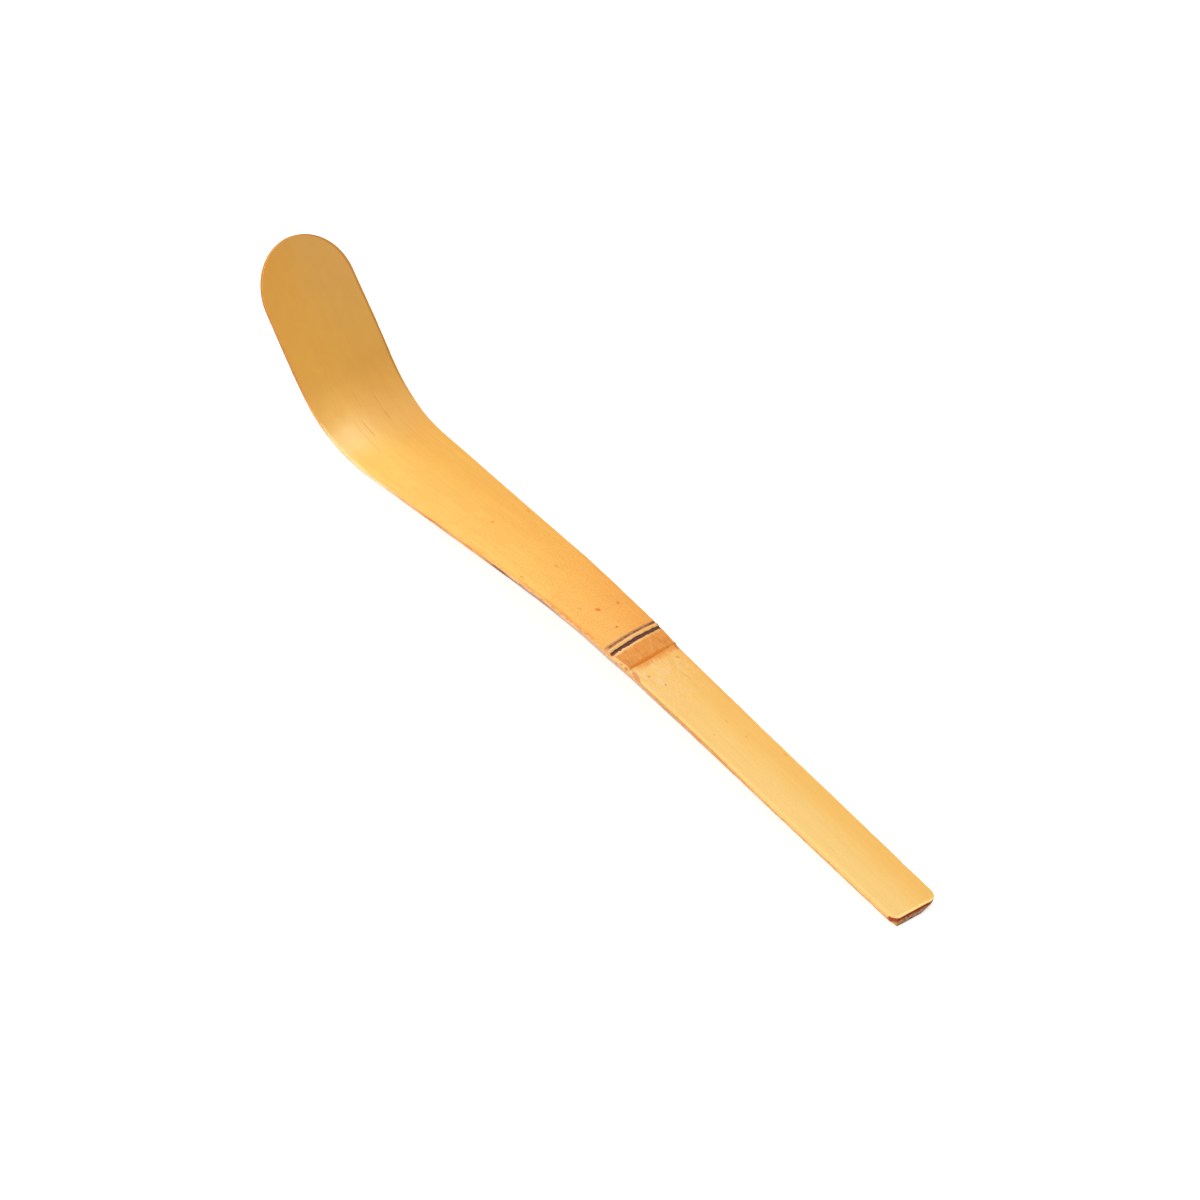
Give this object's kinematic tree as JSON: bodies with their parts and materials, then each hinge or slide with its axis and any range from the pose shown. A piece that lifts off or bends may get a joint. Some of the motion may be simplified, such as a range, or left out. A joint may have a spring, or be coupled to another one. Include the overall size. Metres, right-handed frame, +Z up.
{
  "type": "tea scoop",
  "caption": "Slender bamboo tea scoop: flat shaved handle, ringed node with a step, widening shaft and a heat-bent, round-tipped bowl.",
  "frame": {"origin": "middle of the footprint, on the plane that the scoop lies on, tea face up, touching it with the butt's lower edge and the heel of the bend", "axes": "+X from the bowl's tip toward the butt end of the handle, +Z up, Y across the strip"},
  "size_m": [0.1696, 0.0186, 0.0274],
  "materials": {
    "culm_wood": "shaved bamboo, satin",
    "culm_skin": "polished bamboo skin, soft sheen",
    "grey_ring": "corky grey-brown, matt",
    "pale_ridge": "polished pale bamboo",
    "dark_scar": "dark corky scar, matt",
    "brown_band": "rough brown bamboo, satin",
    "septum": "shaved pithy septum, matt"
  },
  "bodies": {
    "root": {"wood_strip": "culm_wood", "tea_face_skin": "culm_skin", "thin_ring": "grey_ring", "node_ridge": "pale_ridge", "sheath_scar": "dark_scar", "node_band": "brown_band", "septum_stub": "septum"}
  },
  "joints": []
}
